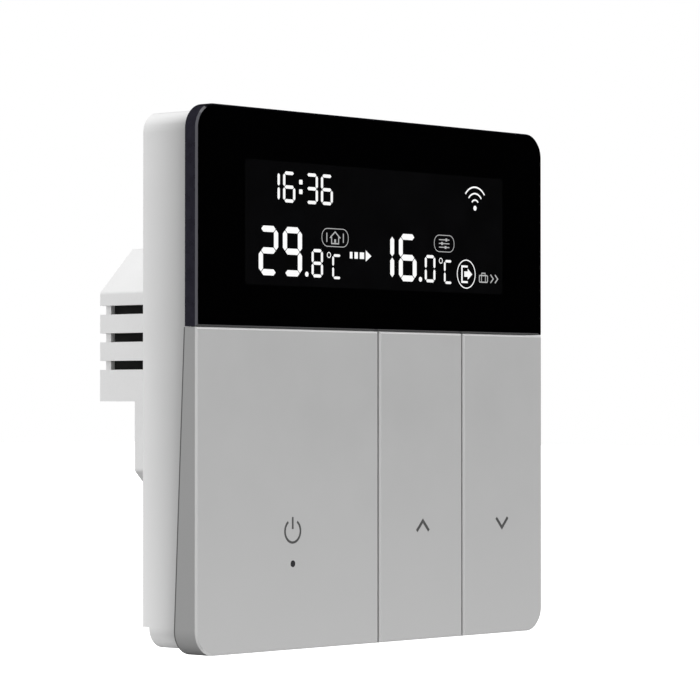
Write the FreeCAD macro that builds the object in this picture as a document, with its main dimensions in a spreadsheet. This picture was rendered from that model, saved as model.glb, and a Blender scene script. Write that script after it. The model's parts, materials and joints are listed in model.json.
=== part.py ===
import FreeCAD, Part
import math
import os
import re

import Sketcher
from FreeCAD import Rotation, Vector

# Wall thermostat for a type-86 wall box.  The origin is the centre of the wall plane that the
# mounting plate lies on.  X runs to the right, Z up, and Y into the wall, so the face is at -Y.
# Every depth is given as a distance out of the wall: positive in the room, negative in the wall.

SIZES = {
    # face and case
    "face_half": 43, "face_out": 13, "face_round": 4,
    "shell_half": 41.7, "shell_tall": 42.2, "shell_round": 3.2, "shell_skin": 1.6,
    "web_back": 9, "web_front": 10.5, "edge_bevel": 0.3,
    "notch_up": 3.3, "notch_out": 1.4, "notch_play": 0.6,
    "vent_wide": 9, "vent_deep": 1.6, "vent_pitch": 12,
    # window and display
    "lens_bottom": 8.2, "display_half": 34, "display_low": 12.2, "display_high": 37,
    "ledge_low": 10.6, "glass_thick": 0.6, "film_thick": 0.15, "frame_half": 35.4,
    "frame_low": 10.4, "frame_high": 38.3, "frame_back": 6.8, "frame_rim": 1.2,
    "guide_back": 7.3, "guide_front": 8.5, "diffuser_front": 8.7, "glass_back": 8.9,
    "lcd_open_half": 36, "lcd_open_low": 9.8, "lcd_open_high": 38.8,
    "light_wide": 1.2, "light_tall": 2.8, "light_pitch": 5, "light_gap": 0.1,
    "lead_count": 20, "lead_half": 0.2, "lead_room": 0.2, "lead_grip": 0.8,
    # keys
    "key_top": 8.1, "split_left": 0, "split_right": 21.5, "split_gap": 0.35, "key_face": 1.5,
    "skirt_wall": 1.1, "skirt_floor": 0.6, "skirt_top": 10.3, "skirt_low": 8,
    "hinge_up": 5.5, "hinge_out": 8.4, "pin_radius": 0.7, "pin_play": 0.12, "lug_half": 1.2,
    "lug_up": 1.2, "ear_wide": 1.4, "ear_play": 0.25, "ear_back": 7.2, "lug_room": 0.7,
    "hook_up": -36.3, "hook_half": 1.5, "hook_thick": 0.7, "hook_back": 7.9, "barb_reach": 0.8,
    "barb_front": 8.9, "hook_room": 0.4,
    "switch_up": -20, "mode_mid": -21, "up_mid": 10.75, "down_mid": 31.6,
    "switch_half": 3, "switch_front": 10.2, "switch_room": 0.5, "plunger_radius": 1.7,
    "plunger_back": 9.3, "plunger_front": 11, "plunger_play": 0.1, "well_room": 0.5,
    "post_radius": 2, "post_back": 11.05, "wide_reach": 13, "narrow_reach": 5.4,
    "pipe_across": -20.95, "pipe_up": -29.3, "pipe_radius": 0.55, "pipe_back": 9.3,
    "pipe_room": 0.6, "pipe_collar": 1,
    # control board
    "board_half": 38.6, "board_back": 5.5, "board_front": 6.7, "board_round": 3,
    "boss_across": 37, "boss_up": -3, "boss_low": -31, "boss_radius": 1.5, "screw_radius": 0.8,
    "head_radius": 1.4, "head_thick": 0.9, "slot_wide": 0.5,
    "foot_count": 8, "foot_pitch": 0.8, "foot_half": 0.18, "foot_reach": 4.5, "foot_thick": 0.2,
    "pin_columns": 6, "pin_half": 0.32, "pin_back": -3.2, "pin_pitch": 2.54, "pin_tip": 0.8,
    "tip_half": 0.19, "bead_radius": 1.1, "bead_long": 1.8, "bead_off": 1.4, "bead_across": 30,
    "bead_up": -31, "bead_lead": 0.6,
    # wall plate
    "plate_half": 39.2, "plate_thick": 1, "plate_rim": 4.2, "plate_skin": 0.9, "plate_round": 2.4,
    "slot_across": 30, "slot_half": 4, "slot_radius": 2.3,
    "clip_across": 36.9, "clip_up": 24, "clip_half": 4, "clip_gap": 0.3, "clip_thick": 1.3,
    "clip_back": 0.6,
    # rear box; an inner wall's corner cut is less than the outer one's by share of the wall
    "box_half": 22.1, "box_tall": 22.5, "box_chamfer": 7.6, "box_skin": 1.2, "box_play": 0.4,
    "corner_share": 0.586, "box_deep": -30, "box_shallow": -21.7, "box_round": 0.8,
    "step_up": -3.35, "flange_half": 26.5, "flange_front": 2.6, "flange_screw": 23.6,
    "slit_up": 7.3, "slit_pitch": 4.63, "slit_half": 0.75, "slit_wrap": 1.4, "slit_front": -0.6,
    "cover_front": 3.8, "cover_half": 22.8, "cover_chamfer": 7.4,
    "ledge_across": 15.8, "ledge_up": 15.8, "side_ledge_across": 18.2, "side_ledge_up": -7,
    "ledge_radius": 2.4, "pilot_deep": 5,
    # power board and its sockets and terminals
    "power_half": 20.5, "power_chamfer": 6.6, "power_back": -7.6, "power_front": -6,
    "socket_front": 2.4, "socket_play": 0.1, "socket_room": 0.35, "socket_deep": 0.4,
    "pole_pitch": 5.08, "pole_count": 6, "block_low": -19.9, "block_high": -9.6,
    "block_back": -20.4, "block_roof": 1.5, "clamp_half": 1.9, "clamp_skin": 0.7,
    "clamp_back": -17.4, "clamp_front": -11.4, "clamp_play": 0.1, "clamp_low": 1,
    "clamp_head": 1.4, "wire_half": 1.5, "wire_back": -16.2, "wire_front": -12.2,
    "tool_radius": 1.9, "tool_up": -15.2, "pole_screw_radius": 1.1, "pole_shank": 2,
    "pole_head": 1.6, "core_yoke": 2, "core_gap": 0.1,
    # how far a cut runs past what it cuts
    "beyond": 1,
}

# Parts that stand on a board: middle across and up, half width, half height, height off the board.
# A round part's half width is its radius.
MEASURES = ("across", "up", "half", "tall", "high")
BOARD_PARTS = {
    "chip": (-6, -18, 3.5, 3.5, 1.4),
    "wireless_board": (-13, 31, 9, 6.5, 0.8),
    "wireless_shield": (-10, 31, 5.6, 5.6, 2),
    "clock_crystal": (8, -18, 1.6, 4, 1.5),
    "status_led": (-20.95, -29.3, 0.8, 0.5, 0.8),
    "header_base": (0, 12, 7.6, 2.5, 1.2),
    "relay": (-12.8, 6.75, 7.4, 6.45, 20.8),
    "bulk_capacitor": (3, 17, 3.2, 3.2, 14),
    "suppression_capacitor": (-6, 16.6, 4.6, 3, 11),
    "varistor": (17.2, 3.5, 2, 4.5, 11),
    "fuse": (-9, -5, 2, 2, 9),
    "bridge_rectifier": (6, -5.4, 3.4, 2.6, 3),
    "transformer_core": (6, 6, 6.5, 6, 11),
    "transformer_bobbin": (6, 6, 6.2, 6.6, 2.9),
}
for part, values in BOARD_PARTS.items():
    SIZES.update({f"{part}_{measure}": value for measure, value in zip(MEASURES, values)})

doc = FreeCAD.newDocument("wall_thermostat")
sheet = doc.addObject("Spreadsheet::Sheet", "dims")
for row, (alias, value) in enumerate(SIZES.items(), start=1):
    sheet.set(f"A{row}", alias)
    sheet.set(f"B{row}", str(value))
    sheet.setAlias(f"B{row}", alias)
doc.recompute()

finished = []
NEAR = 0.01         # two positions closer than this, in millimetres, count as one


def formula(text):
    """Point each size named in a formula at its cell in the sheet."""
    return re.sub(r"[a-z][a-z_]+", lambda word: "dims." + word.group(), str(text))


def amount(text):
    """The present value of a formula, for the few shapes made without a feature."""
    return float(sheet.evalExpression(formula(text)))


def keep(piece):
    """Count an object as one of the thermostat's finished pieces."""
    finished.append(piece)
    return piece


def span(low, high):
    """The distance between two stations, as a formula."""
    return f"({high}) - ({low})"


# ---------------------------------------------------------------- plain solids

def block(name, across, up, out):
    """A box between two stations each way: left and right, bottom and top, back and front."""
    solid = doc.addObject("Part::Box", name)
    solid.setExpression("Length", formula(span(*across)))
    solid.setExpression("Width", formula(span(*out)))
    solid.setExpression("Height", formula(span(*up)))
    solid.setExpression("Placement.Base.x", formula(across[0]))
    solid.setExpression("Placement.Base.y", formula(f"-({out[1]})"))
    solid.setExpression("Placement.Base.z", formula(up[0]))
    return solid


def centred(name, across, up, half_across, half_up, out):
    """A box given by its centre line and its half sizes."""
    return block(name, (f"{across} - {half_across}", f"{across} + {half_across}"),
                 (f"{up} - {half_up}", f"{up} + {half_up}"), out)


def rod(name, across, up, radius, out):
    """A round bar that points out of the wall, between two stations."""
    bar = doc.addObject("Part::Cylinder", name)
    bar.Placement = FreeCAD.Placement(Vector(), Rotation(Vector(1, 0, 0), 90))
    bar.setExpression("Radius", formula(radius))
    bar.setExpression("Height", formula(span(*out)))
    bar.setExpression("Placement.Base.x", formula(across))
    bar.setExpression("Placement.Base.y", formula(f"-({out[0]})"))
    bar.setExpression("Placement.Base.z", formula(up))
    return bar


def standing(part, base):
    """A square-cut part that stands on the wall side of a board, by its entry in the table."""
    return centred(part, f"{part}_across", f"{part}_up", f"{part}_half", f"{part}_tall",
                   (f"{base} - {part}_high", base))


def standing_round(part, base):
    """A round part that stands on the wall side of a board, by its entry in the table."""
    return rod(part, f"{part}_across", f"{part}_up", f"{part}_half", (f"{base} - {part}_high", base))


def both_sides(across, *ups):
    """Spots at one distance left and right of the centre line, at each of the heights."""
    return [(f"{side}{across}", up) for side in ("", "-") for up in ups]


def joined(name, solids):
    """One solid out of several that touch."""
    whole = doc.addObject("Part::MultiFuse", name)
    whole.Shapes = solids
    whole.Refine = True
    return whole


def without(name, solid, tools):
    """A solid with the space of the tools taken out of it."""
    rest = doc.addObject("Part::Cut", name)
    rest.Base = solid
    rest.Tool = joined(name + "_space", tools) if len(tools) > 1 else tools[0]
    return rest


def group(name, solids):
    """Several separate like solids in one node."""
    whole = doc.addObject("Part::Compound", name)
    whole.Links = solids
    return keep(whole)


def screw(name, spot, out, radius="screw_radius", head="head_radius", thick="head_thick",
          facing_room=True):
    """A slotted screw between two stations, with its head beyond the one that it is driven from."""
    back, front = out
    seat, top, slit = front, f"{front} + {thick}", f"{front} + {thick} / 2"
    if not facing_room:
        seat, top, slit = back, f"{back} - {thick}", f"{back} - {thick} / 2"
    shank = rod(name + "_shank", *spot, radius, out)
    cap = rod(name + "_head", *spot, head, sorted((seat, top), key=amount))
    groove = centred(name + "_slit", *spot, head, "slot_wide / 2", sorted((slit, top), key=amount))
    return without(name, joined(name + "_blank", [shank, cap]), [groove])


# ---------------------------------------------------------------- sketched features

def new_body(name):
    """An empty body with a name of its own."""
    return keep(doc.addObject("PartDesign::Body", name))


def new_sketch(body, station, role="XZ_Plane"):
    """A sketch at a distance out of the wall, or across the part when it lies in the YZ plane."""
    sketch = body.newObject("Sketcher::SketchObject", body.Name + "_outline")
    plane = next(item for item in body.Origin.OriginFeatures if item.Role == role)
    sketch.AttachmentSupport = [(plane, "")]
    sketch.MapMode = "FlatFace"
    sketch.setExpression("AttachmentOffset.Base.z", formula(station))
    return sketch


def place_point(sketch, line, end, across, up):
    """Tie a line's end to the origin with two bound distances; None leaves one free."""
    for kind, distance in (("DistanceX", across), ("DistanceY", up)):
        if distance is not None:
            tie = Sketcher.Constraint(kind, -1, 1, line, end, amount(distance))
            number = sketch.addConstraint(tie)
            sketch.setExpression(f"Constraints[{number}]", formula(distance))


def draw_polygon(sketch, corners):
    """A closed outline of straight lines with every corner bound to the sheet."""
    first = sketch.GeometryCount
    points = [Vector(amount(across), amount(up), 0) for across, up in corners]
    count = len(points)
    for index in range(count):
        sketch.addGeometry(Part.LineSegment(points[index], points[(index + 1) % count]), False)
    for index in range(count):
        following = first + (index + 1) % count
        sketch.addConstraint(Sketcher.Constraint("Coincident", first + index, 2, following, 1))
    for index, (across, up) in enumerate(corners):
        place_point(sketch, first + index, 1, across, up)


def draw_rectangle(sketch, across, up):
    """An upright rectangle between two stations each way."""
    left, right = across
    low, high = up
    draw_polygon(sketch, [(left, low), (right, low), (right, high), (left, high)])


def draw_circle(sketch, across, up, radius):
    """A circle with its centre and radius bound to the sheet."""
    number = sketch.GeometryCount
    centre = Vector(amount(across), amount(up), 0)
    sketch.addGeometry(Part.Circle(centre, Vector(0, 0, 1), amount(radius)), False)
    tie = sketch.addConstraint(Sketcher.Constraint("Radius", number, amount(radius)))
    sketch.setExpression(f"Constraints[{tie}]", formula(radius))
    place_point(sketch, number, 3, across, up)


def draw_slot(sketch, across, up, half_length, radius):
    """A level slot with round ends: two arcs joined by two lines."""
    first = sketch.GeometryCount
    reach = amount(f"{half_length} - {radius}")
    middle = Vector(amount(across), amount(up), 0)
    size = amount(radius)
    right = Part.Circle(middle + Vector(reach, 0, 0), Vector(0, 0, 1), size)
    left = Part.Circle(middle - Vector(reach, 0, 0), Vector(0, 0, 1), size)
    turn = math.pi / 2
    sketch.addGeometry(Part.ArcOfCircle(right, -turn, turn), False)
    sketch.addGeometry(Part.ArcOfCircle(left, turn, 3 * turn), False)
    above = Vector(0, size, 0)
    ahead = Vector(reach, 0, 0)
    sketch.addGeometry(Part.LineSegment(middle + ahead + above, middle - ahead + above), False)
    sketch.addGeometry(Part.LineSegment(middle - ahead - above, middle + ahead - above), False)
    joints = ((0, 2, 2, 1), (2, 2, 1, 1), (1, 2, 3, 1), (3, 2, 0, 1))
    for one, one_end, other, other_end in joints:
        tangent = Sketcher.Constraint("Tangent", first + one, one_end, first + other, other_end)
        sketch.addConstraint(tangent)
    sketch.addConstraint(Sketcher.Constraint("Horizontal", first + 2))
    tie = sketch.addConstraint(Sketcher.Constraint("Radius", first, size))
    sketch.setExpression(f"Constraints[{tie}]", formula(radius))
    place_point(sketch, first, 3, f"{across} + {half_length} - {radius}", up)
    place_point(sketch, first + 1, 3, f"{across} - {half_length} + {radius}", None)


def extrude(body, kind, stations, draw, role="XZ_Plane"):
    """Pad or pocket what draw puts in a new sketch, from the first station to the second."""
    first, second = stations
    before = body.Shape.Volume if body.Tip else 0.0
    sketch = new_sketch(body, first if kind == "Pad" else second, role)
    draw(sketch)
    feature = body.newObject("PartDesign::" + kind, body.Name + "_" + kind.lower())
    feature.Profile = sketch
    feature.setExpression("Length", formula(span(first, second)))
    feature.Refine = True
    doc.recompute()
    change = body.Shape.Volume - before
    if (change > 0) != (kind == "Pad") or abs(change) < NEAR ** 3:
        raise ValueError(f"{feature.Name} changed {body.Label} by {change:.4f}")


def extrude_polygon(body, kind, out, corners):
    """Pad or pocket one straight-sided outline."""
    extrude(body, kind, out, lambda sketch: draw_polygon(sketch, corners))


def pad(body, out, *rectangles):
    """Add one or more upright rectangles, each a pair of stations across and up."""
    def draw(sketch):
        for across, up in rectangles:
            draw_rectangle(sketch, across, up)
    extrude(body, "Pad", out, draw)


def pocket(body, out, *rectangles):
    """Cut one or more upright rectangles, each a pair of stations across and up."""
    def draw(sketch):
        for across, up in rectangles:
            draw_rectangle(sketch, across, up)
    extrude(body, "Pocket", out, draw)


def pad_circles(body, out, radius, *centres):
    """Add round pillars at the centres."""
    def draw(sketch):
        for across, up in centres:
            draw_circle(sketch, across, up, radius)
    extrude(body, "Pad", out, draw)


def drill(body, out, radius, *centres):
    """Cut round holes at the centres."""
    def draw(sketch):
        for across, up in centres:
            draw_circle(sketch, across, up, radius)
    extrude(body, "Pocket", out, draw)


def lines_along_y(shape, test):
    """The names of the straight edges that point out of the wall and pass the test."""
    names = []
    for number, edge in enumerate(shape.Edges, start=1):
        if edge.Curve.TypeId == "Part::GeomLine":
            run = edge.Vertexes[1].Point - edge.Vertexes[0].Point
            if abs(run.y) > 0.99 * run.Length and test(edge.CenterOfMass):
                names.append(f"Edge{number}")
    return names


def front_rim(shape, out):
    """The names of the edges in the plane at one distance out of the wall."""
    return [f"Edge{number}" for number, edge in enumerate(shape.Edges, start=1)
            if edge.BoundBox.YMax < NEAR - amount(out)]


def dress(body, kind, size, names):
    """Round or bevel the named edges of a body's newest feature."""
    newest = body.Tip
    feature = body.newObject("PartDesign::" + kind, body.Name + "_" + kind.lower())
    feature.Base = (newest, names)
    feature.setExpression("Radius" if kind == "Fillet" else "Size", formula(size))
    doc.recompute()


def octagon(half, tall, chamfer):
    """The corners of an outline with cut corners, from its half width and half height."""
    flat, high = f"({half} - {chamfer})", f"({tall} - {chamfer})"
    return [(flat, f"-({tall})"), (half, f"-{high}"), (half, high), (flat, tall),
            (f"-{flat}", tall), (f"-({half})", high), (f"-({half})", f"-{high}"),
            (f"-{flat}", f"-({tall})")]


def upright(half, tall):
    """An upright rectangle about the centre."""
    return (f"-({half})", half), (f"-({tall})", tall)


# ---------------------------------------------------------------- face: window and keys

def make_window_lens():
    """Black acrylic window over the upper part of the face."""
    lens = new_body("window_lens")
    pad(lens, ("web_front", "face_out"), (("-face_half", "face_half"), ("lens_bottom", "face_half")))
    upper = amount("lens_bottom + face_round")
    dress(lens, "Fillet", "face_round", lines_along_y(lens.Shape, lambda point: point.z > upper))
    dress(lens, "Chamfer", "edge_bevel", front_rim(lens.Shape, "face_out"))


KEYS = {
    # name: left edge, right edge, centre line, reach of the hinges and hooks from the centre line
    "mode": ("-face_half", "split_left - split_gap / 2", "mode_mid", "wide_reach"),
    "up": ("split_left + split_gap / 2", "split_right - split_gap / 2", "up_mid", "narrow_reach"),
    "down": ("split_right + split_gap / 2", "face_half", "down_mid", "narrow_reach"),
}


def key_feet(key):
    """The centre lines of a key's two hinge lugs, which are also those of its two hooks."""
    middle, reach = KEYS[key][2:]
    return f"{middle} - {reach}", f"{middle} + {reach}"


def add_skirt(body, left, right):
    """The key's wall round the outside of the case: along the bottom and up a free side."""
    floor = "-face_half + skirt_floor"
    outline = [(left, "-face_half"), (right, "-face_half"), (right, floor), (left, floor)]
    if left == "-face_half":
        inner = "-face_half + skirt_wall"
        outline[3:] = [(inner, floor), (inner, "key_top"), (left, "key_top")]
    if right == "face_half":
        inner = "face_half - skirt_wall"
        outline[2:3] = [(right, "key_top"), (inner, "key_top"), (inner, floor)]
    extrude_polygon(body, "Pad", ("skirt_low", "face_out - key_face"), outline)


def taper_skirt(body):
    """Slope the skirt's rear edge: deep at the bottom of the key and shallow at its top."""
    above = "key_top + beyond"
    corners = [("-skirt_low", "-face_half"), ("-skirt_top", "key_top"), ("-skirt_top", above),
               ("0", above), ("0", "-face_half")]
    extrude(body, "Pocket", ("-2 * face_half", "2 * face_half"),
            lambda sketch: draw_polygon(sketch, corners), "YZ_Plane")


def round_key_corner(body):
    """Round the key's free lower corner, outside and inside."""
    outer = amount("face_half") - NEAR
    inner = amount("face_half - skirt_wall")
    corner = lines_along_y(body.Shape, lambda point: abs(point.x) > outer and point.z < -outer)
    if corner:
        dress(body, "Fillet", "face_round", corner)
        nook = lines_along_y(body.Shape, lambda point: abs(abs(point.x) - inner) < NEAR
                             and point.z < -inner)
        dress(body, "Fillet", "face_round - skirt_wall", nook)


def make_key(key):
    """One push key: face, skirt, switch post, two hinge lugs with their pins and two hooks."""
    left, right, middle, _ = KEYS[key]
    back = "face_out - key_face"
    body = new_body(key + "_key")
    pad(body, (back, "face_out"), ((left, right), ("-face_half", "key_top")))
    add_skirt(body, left, right)
    taper_skirt(body)
    round_key_corner(body)
    dress(body, "Chamfer", "edge_bevel", front_rim(body.Shape, "face_out"))
    pad_circles(body, ("post_back", back), "post_radius", (middle, "switch_up"))
    for foot in key_feet(key):
        pad(body, ("hinge_out - lug_up", back), ((f"{foot} - lug_half", f"{foot} + lug_half"),
                                                 ("hinge_up - lug_up", "hinge_up + lug_up")))
        hook = (f"{foot} - hook_half", f"{foot} + hook_half")
        pad(body, ("hook_back", back), (hook, ("hook_up - hook_thick", "hook_up + hook_thick")))
        pad(body, ("hook_back", "barb_front"),
            (hook, ("hook_up + hook_thick", "hook_up + hook_thick + barb_reach")))
        reach = "(lug_half + ear_play + ear_wide)"
        extrude(body, "Pad", (f"{foot} - {reach}", f"{foot} + {reach}"),
                lambda sketch: draw_circle(sketch, "-hinge_out", "hinge_up", "pin_radius"), "YZ_Plane")
    if key == "mode":
        add_pipe_collar(body)


def add_pipe_collar(body):
    """A hole through the key's face with a collar behind it, which hold the light pipe."""
    centre = ("pipe_across", "pipe_up")
    back = "face_out - key_face"
    drill(body, (back, "face_out"), "pipe_radius", centre)

    def draw(sketch):
        draw_circle(sketch, *centre, "pipe_collar")
        draw_circle(sketch, *centre, "pipe_radius")
    extrude(body, "Pad", (f"{back} - key_face", back), draw)


def make_indicator_pipe():
    """Clear light pipe pressed into the mode key, over the status LED."""
    keep(rod("indicator_pipe", "pipe_across", "pipe_up", "pipe_radius", ("pipe_back", "face_out")))


# ---------------------------------------------------------------- front shell

def make_front_shell():
    """White case: four walls and a web that carries the window, the display and the keys."""
    shell = new_body("front_shell")
    web = ("web_back", "web_front")
    pad(shell, ("0", "web_front"), upright("shell_half", "shell_tall"))
    dress(shell, "Fillet", "shell_round", lines_along_y(shell.Shape, lambda point: True))
    pocket(shell, ("0", "web_back"), upright("shell_half - shell_skin", "shell_tall - shell_skin"))
    inner = amount("shell_half - shell_skin")
    nooks = lines_along_y(shell.Shape, lambda point: abs(abs(point.x) - inner) < NEAR)
    dress(shell, "Fillet", "shell_round - shell_skin", nooks)
    pocket(shell, web, (("-lcd_open_half", "lcd_open_half"), ("lcd_open_low", "lcd_open_high")))
    cut_key_windows(shell, web)
    add_hinge_ears(shell)
    bosses = both_sides("boss_across", "boss_up", "boss_low")
    pad_circles(shell, ("board_front", "web_back"), "boss_radius", *bosses)
    drill(shell, ("board_front", "web_back"), "screw_radius", *bosses)
    pad(shell, ("clip_back", "web_back"), *clip_outlines("0"))
    pocket(shell, ("0", "notch_out"), (("-shell_half - beyond", "shell_half + beyond"),
                                       ("-shell_tall - beyond", "-shell_tall + notch_up")))
    cut_air_vents(shell)


def cut_key_windows(shell, web):
    """Openings in the web for the hinge lugs, the hooks, the key switches and the light pipe."""
    lug = "(lug_half + ear_play)"
    hook = "(hook_half + hook_room)"
    switch = "(switch_half + switch_room)"
    for key, (_, _, middle, _) in KEYS.items():
        for foot in key_feet(key):
            pocket(shell, web, ((f"{foot} - {lug}", f"{foot} + {lug}"),
                                ("hinge_up - lug_up - lug_room", "hinge_up + lug_up + lug_room")))
            pocket(shell, web, ((f"{foot} - {hook}", f"{foot} + {hook}"),
                                ("hook_up - hook_thick - hook_room", "hook_up + hook_thick + hook_room")))
        pocket(shell, web, ((f"{middle} - {switch}", f"{middle} + {switch}"),
                            (f"switch_up - {switch}", f"switch_up + {switch}")))
    drill(shell, web, "pipe_collar + pipe_room", ("pipe_across", "pipe_up"))


def add_hinge_ears(shell):
    """Pairs of bored ears behind the web that hold the keys' hinge pins."""
    near = "(lug_half + ear_play)"
    far = "(lug_half + ear_play + ear_wide)"
    up = ("hinge_up - 2 * lug_up", "hinge_up + 2 * lug_up")
    for key in KEYS:
        for foot in key_feet(key):
            pad(shell, ("ear_back", "web_back"), ((f"{foot} - {far}", f"{foot} - {near}"), up),
                ((f"{foot} + {near}", f"{foot} + {far}"), up))
            extrude(shell, "Pocket", (f"{foot} - {far} - ear_play", f"{foot} + {far} + ear_play"),
                    lambda sketch: draw_circle(sketch, "-hinge_out", "hinge_up", "pin_radius + pin_play"),
                    "YZ_Plane")


def clip_outlines(margin):
    """The four outlines of the snap legs, with a margin all round."""
    thick = f"(clip_thick / 2 + {margin})"
    tall = f"(clip_half + {margin})"
    return [((f"{across} - {thick}", f"{across} + {thick}"), (f"{up} - {tall}", f"{up} + {tall}"))
            for across, up in both_sides("clip_across", "clip_up", "-clip_up")]


def cut_air_vents(shell):
    """Rows of short slots through the upper and lower walls, for air to reach the sensor."""
    walls = (("-shell_tall - beyond", "-shell_tall + shell_skin + beyond"),
             ("shell_tall - shell_skin - beyond", "shell_tall + beyond"))
    for step in (-1, 0, 1):
        slot = (f"{step} * vent_pitch - vent_wide / 2", f"{step} * vent_pitch + vent_wide / 2")
        pocket(shell, ("notch_out + vent_deep", "notch_out + 2 * vent_deep"),
               *[(slot, wall) for wall in walls])


# ---------------------------------------------------------------- display

def make_display():
    """Segment display on a white backlight frame, with its light guide, LEDs and films."""
    frame = new_body("backlight_frame")
    pad(frame, ("frame_back", "diffuser_front"),
        (("-frame_half", "frame_half"), ("frame_low", "frame_high")))
    pocket(frame, ("guide_back", "diffuser_front"),
           (("-frame_half + frame_rim", "frame_half - frame_rim"),
            ("display_low", "frame_high - frame_rim")))
    edge = "(frame_half - frame_rim - film_thick)"
    tall = ("display_low + film_thick", "frame_high - frame_rim - film_thick")
    guide_edge = f"{edge} - 2 * light_wide"
    keep(block("light_guide", (f"-{edge}", guide_edge), tall, ("guide_back", "guide_front")))
    keep(block("backlight_diffuser", (f"-{edge}", edge), tall, ("guide_front", "diffuser_front")))
    lights = []
    for number in range(1, 5):
        low = f"display_low + {number} * light_pitch"
        lights.append(block(f"backlight_led_{number}", (f"{edge} - light_wide", edge),
                            (low, f"{low} + light_tall"), ("guide_back", "guide_front - light_gap")))
    group("backlight_leds", lights)
    wide = ("-display_half", "display_half")
    view = ("display_low", "display_high")
    middle, front = "glass_back + glass_thick", "glass_back + 2 * glass_thick"
    keep(block("lcd_rear_glass", wide, ("ledge_low", "display_high"), ("glass_back", middle)))
    keep(block("lcd_front_glass", wide, view, (middle, front)))
    films = (("rear", "glass_back - film_thick", "glass_back"), ("front", front, front + " + film_thick"))
    group("lcd_polarisers", [block(name + "_polariser", wide, view, out) for name, *out in films])


def make_display_pins():
    """The row of bent leads between the control board and the ledge of the display's glass."""
    leads = []
    for number in range(int(amount("lead_count"))):
        middle = f"({number} - (lead_count - 1) / 2) * pin_pitch"
        across = (f"{middle} - lead_half", f"{middle} + lead_half")
        low, bend = "frame_low - lead_room - 2 * lead_half", "glass_back - film_thick"
        stem = block(f"lead_stem_{number}", across, (low, "frame_low - lead_room"), ("board_front", bend))
        grip = block(f"lead_grip_{number}", across, (low, "ledge_low + lead_grip"), (bend, "glass_back"))
        leads.append(joined(f"lead_{number}", [stem, grip]))
    group("lcd_pins", leads)


# ---------------------------------------------------------------- control board

def make_control_board():
    """Circuit board behind the display and the keys, screwed to the bosses of the front shell."""
    board = new_body("control_board")
    out = ("board_back", "board_front")
    spots = both_sides("boss_across", "boss_up", "boss_low")
    pad(board, out, upright("board_half", "board_half"))
    dress(board, "Fillet", "board_round", lines_along_y(board.Shape, lambda point: True))
    drill(board, out, "screw_radius", *spots)
    pocket(board, out, *clip_outlines("clip_gap"))
    group("control_board_screws", [screw(f"control_screw_{number}", spot, ("board_back", "web_back"),
                                         facing_room=False) for number, spot in enumerate(spots)])


def make_control_parts():
    """The chips, crystal, sensor, LED and pin header on the control board."""
    chip = standing("chip", "board_back")
    feet = []
    for number in range(int(amount("foot_count"))):
        shift = f"({number} - (foot_count - 1) / 2) * foot_pitch"
        out = ("board_back - foot_thick", "board_back")
        feet.append(centred(f"chip_row_{number}", "chip_across", f"chip_up + {shift}",
                            "foot_reach", "foot_half", out))
        feet.append(centred(f"chip_column_{number}", f"chip_across + {shift}", "chip_up",
                            "foot_half", "foot_reach", out))
    keep(joined("microcontroller", [chip] + feet))
    keep(standing("wireless_board", "board_back"))
    keep(standing("wireless_shield", "board_back - wireless_board_high"))
    keep(standing("clock_crystal", "board_back"))
    keep(standing("status_led", "board_front + status_led_high"))
    keep(standing("header_base", "board_back"))
    group("header_pins", [make_header_pin(number, *spot) for number, spot in enumerate(pin_spots())])
    back = "board_back - bead_off"
    bead = rod("sensor_bead", "bead_across", "bead_up", "bead_radius", (f"{back} - bead_long", back))
    leads = [centred(f"sensor_lead_{side}", f"bead_across + {side} * bead_lead", "bead_up",
                     "lead_half", "lead_half", (f"{back} - lead_half", "board_back"))
             for side in (-1, 1)]
    keep(joined("room_sensor", [bead] + leads))


def pin_spots():
    """The middles of the header's pins: six columns in two rows."""
    return [(f"({column} - (pin_columns - 1) / 2) * pin_pitch", f"header_base_up + {row} * pin_pitch / 2")
            for column in range(int(amount("pin_columns"))) for row in (-1, 1)]


def make_header_pin(number, across, up):
    """One square pin of the header, with a slimmer tip."""
    shoulder = "pin_back + pin_tip"
    stem = centred(f"pin_stem_{number}", across, up, "pin_half", "pin_half",
                   (shoulder, "board_back - header_base_high"))
    tip = centred(f"pin_tip_{number}", across, up, "tip_half", "tip_half", ("pin_back", shoulder))
    return joined(f"header_pin_{number}", [stem, tip])


def make_switches():
    """Three key switches: a case on the control board and a plunger that slides in it."""
    for key, (_, _, middle, _) in KEYS.items():
        case = centred(key + "_switch_case", middle, "switch_up", "switch_half", "switch_half",
                       ("board_front", "switch_front"))
        well = rod(key + "_switch_well", middle, "switch_up", "plunger_radius + plunger_play",
                   ("plunger_back - well_room", "switch_front"))
        keep(without(key + "_switch_body", case, [well]))
        keep(rod(key + "_plunger", middle, "switch_up", "plunger_radius",
                 ("plunger_back", "plunger_front")))


# ---------------------------------------------------------------- wall plate and rear box

def make_mounting_plate():
    """Pressed steel tray: window for the rear box, two wall-screw slots and four clip windows."""
    plate = new_body("mounting_plate")
    sheet_out = ("0", "plate_thick")
    pad(plate, ("0", "plate_rim"), upright("plate_half", "plate_half"))
    dress(plate, "Fillet", "plate_round", lines_along_y(plate.Shape, lambda point: True))
    pocket(plate, ("plate_thick", "plate_rim"),
           upright("plate_half - plate_skin", "plate_half - plate_skin"))
    extrude_polygon(plate, "Pocket", sheet_out,
                    octagon("box_half + box_play", "box_tall + box_play", "box_chamfer"))

    def wall_slots(sketch):
        for side in ("", "-"):
            draw_slot(sketch, f"{side}slot_across", "0", "slot_half", "slot_radius")
    extrude(plate, "Pocket", sheet_out, wall_slots)
    pocket(plate, sheet_out, *clip_outlines("clip_gap"))
    drill(plate, sheet_out, "screw_radius", *flange_spots())
    pocket(plate, ("0", "plate_rim"), (("-plate_half - beyond", "plate_half + beyond"),
                                       ("-plate_half - beyond", "-shell_tall + notch_up + notch_play")))


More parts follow.
